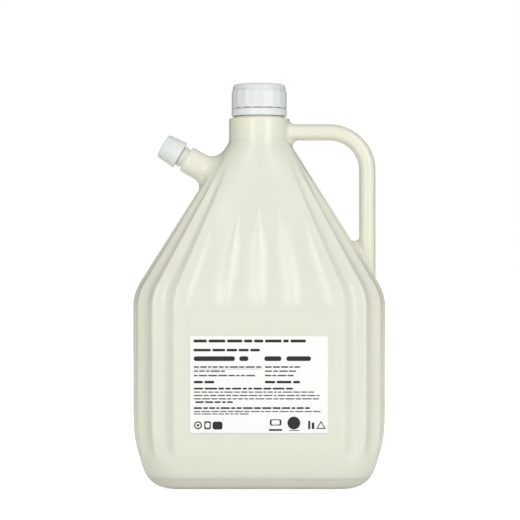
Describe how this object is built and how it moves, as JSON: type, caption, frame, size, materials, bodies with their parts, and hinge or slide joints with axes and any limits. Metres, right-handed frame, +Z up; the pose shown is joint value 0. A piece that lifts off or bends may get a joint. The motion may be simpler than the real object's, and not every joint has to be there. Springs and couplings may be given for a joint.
{
  "type": "hand soap refill pack",
  "caption": "Cream blow-moulded refill canister with a fluted cone shoulder, hollow side handle, white screw cap, small capped side spout and a printed front label.",
  "frame": {"origin": "middle of the underside, on the plane the canister stands on", "axes": "+Z up through the neck, +X towards the handle, -Y out through the labelled front"},
  "size_m": [0.181, 0.1178, 0.292],
  "materials": {
    "cream_hdpe": "satin",
    "white_cap": "satin",
    "liner_foam": "matt",
    "label_film": "semi-gloss printed film",
    "soap": "clear liquid, stands for soap"
  },
  "bodies": {
    "canister": {"bottle": "cream_hdpe", "neck": "cream_hdpe", "spout": "cream_hdpe", "handle": "cream_hdpe", "tamper_band": "white_cap", "label": "label_film", "liquid_soap": "soap"},
    "main_liner": {"main_cap_liner": "liner_foam"},
    "main_closure": {"main_cap": "white_cap"},
    "spout_liner": {"spout_cap_liner": "liner_foam"},
    "spout_closure": {"spout_cap": "white_cap"}
  },
  "joints": [
    {"name": "main_cap_rise", "type": "slide", "parent": "canister", "child": "main_liner", "axis": [0, 0, 1], "range_m": [0, 0.024]},
    {"name": "main_cap_turn", "type": "hinge", "parent": "main_liner", "child": "main_closure", "pos_m": [0, 0, 0.28], "axis": [0, 0, 1], "range_deg": [0, 1080]},
    {"name": "spout_cap_rise", "type": "slide", "parent": "canister", "child": "spout_liner", "axis": [-0.866, 0, 0.5], "range_m": [0, 0.015]},
    {"name": "spout_cap_turn", "type": "hinge", "parent": "spout_liner", "child": "spout_closure", "pos_m": [-0.0532, 0, 0.2377], "axis": [-0.866, 0, 0.5], "range_deg": [0, 1080]}
  ],
  "couplings": [
    {"joint": "main_cap_turn", "follows": "main_cap_rise", "rad_per_m": 785.39},
    {"joint": "spout_cap_turn", "follows": "spout_cap_rise", "rad_per_m": 1256.6}
  ]
}
